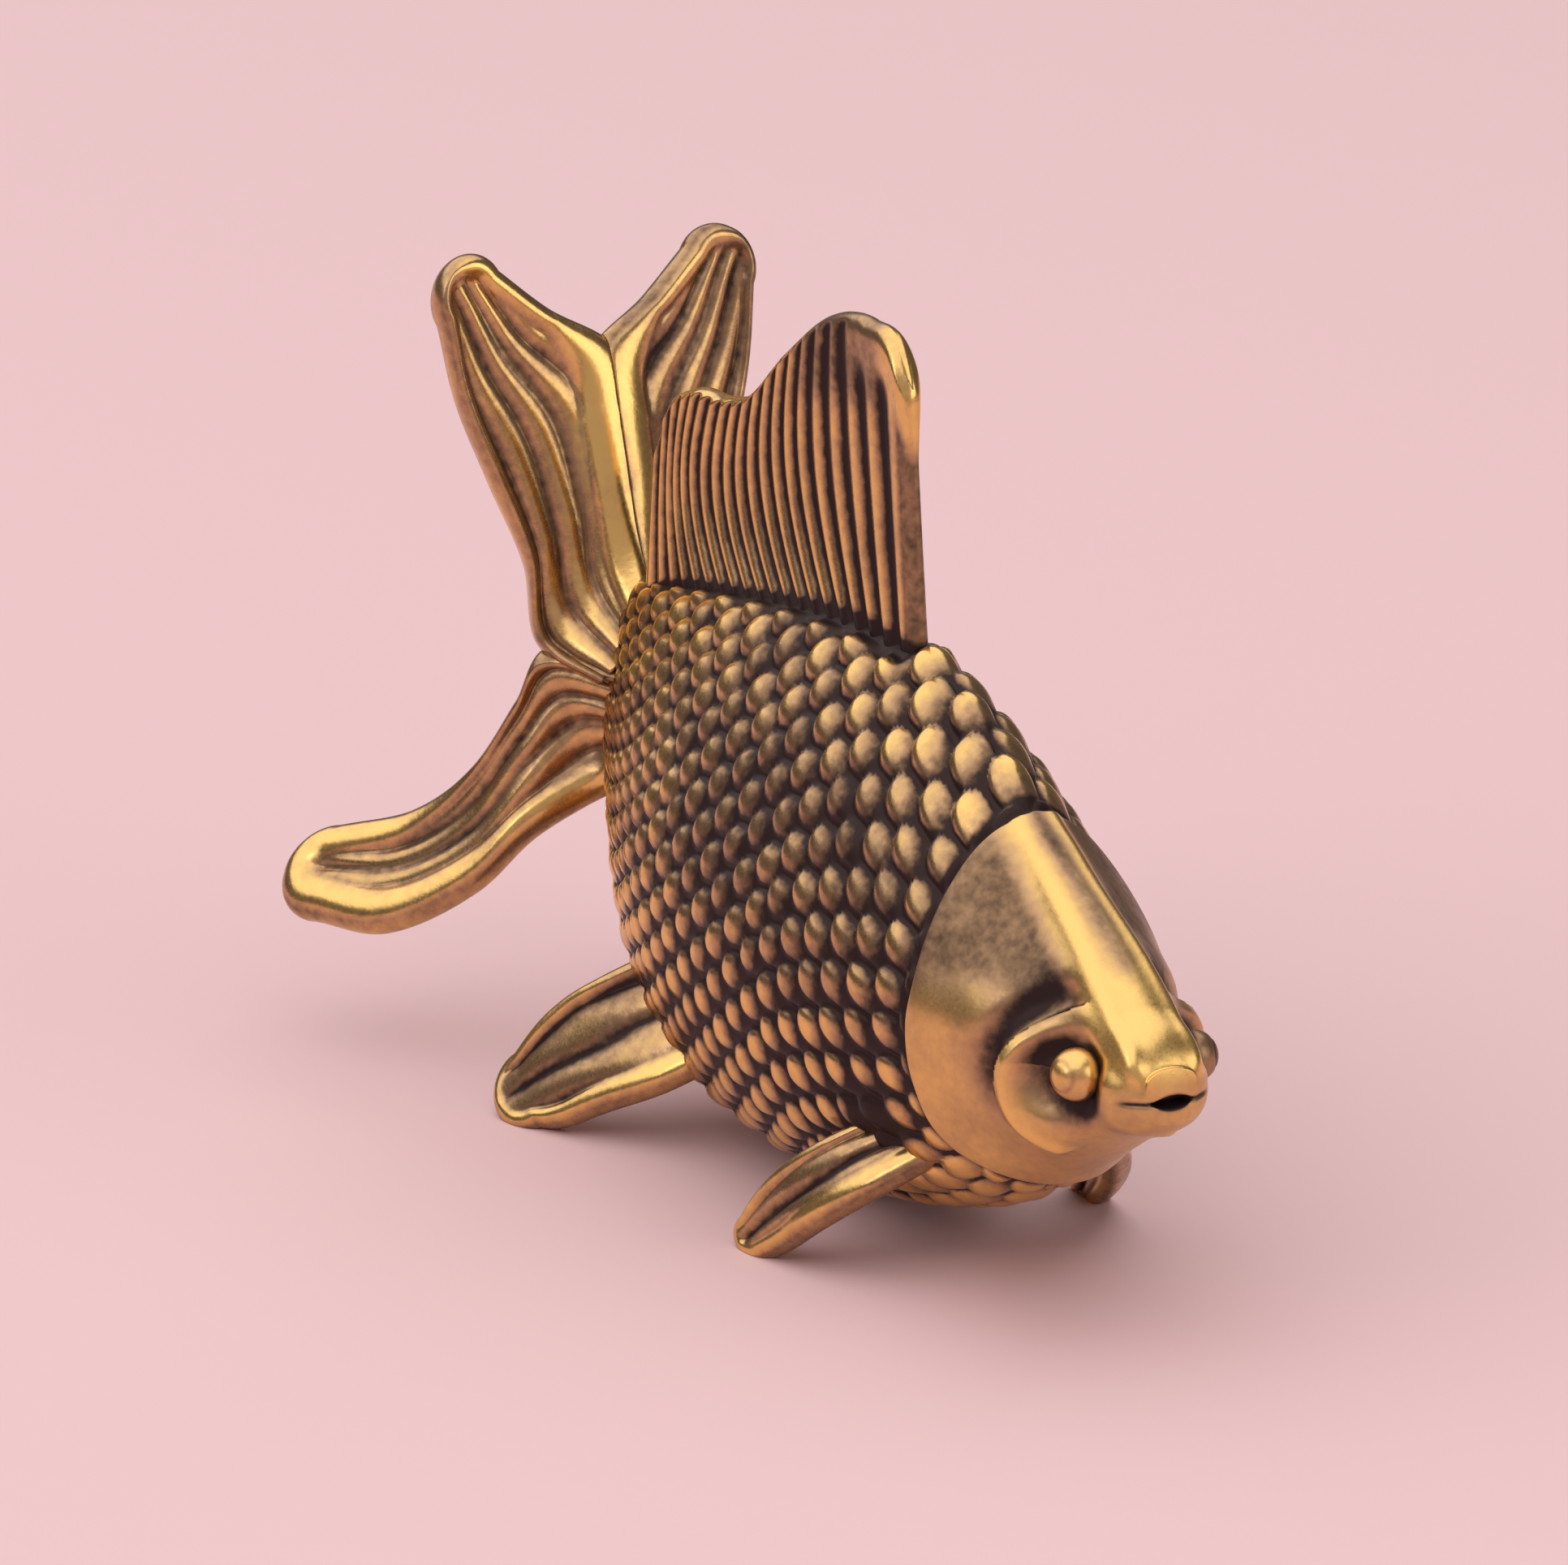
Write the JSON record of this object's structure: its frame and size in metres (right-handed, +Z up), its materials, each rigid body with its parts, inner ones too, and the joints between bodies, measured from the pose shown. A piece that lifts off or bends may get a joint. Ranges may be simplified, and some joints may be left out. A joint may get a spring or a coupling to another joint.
{
  "type": "goldfish figurine",
  "caption": "Small cast brass goldfish ornament with scaled flanks, a rayed dorsal fin and a fan tail, standing on its lower fins.",
  "frame": {"origin": "under the middle of the overall box, on the surface the fish stands on", "axes": "+X towards the mouth, +Y to the fish's left, +Z up"},
  "size_m": [0.044, 0.018, 0.0276],
  "materials": {
    "aged_brass": "cast, rubbed bright on the high places, dark brown in the hollows",
    "polished_brass": "cast and hand polished, faintly pitted"
  },
  "bodies": {
    "root": {"body": "aged_brass", "head": "polished_brass", "eye_right": "polished_brass", "eye_left": "polished_brass", "dorsal_fin": "aged_brass", "tail_upper_lobe_right": "aged_brass", "tail_upper_lobe_left": "aged_brass", "tail_lower_lobe_right": "aged_brass", "tail_lower_lobe_left": "aged_brass", "pectoral_fin_right": "aged_brass", "pectoral_fin_left": "aged_brass", "pelvic_fin_right": "aged_brass", "pelvic_fin_left": "aged_brass"}
  },
  "joints": []
}
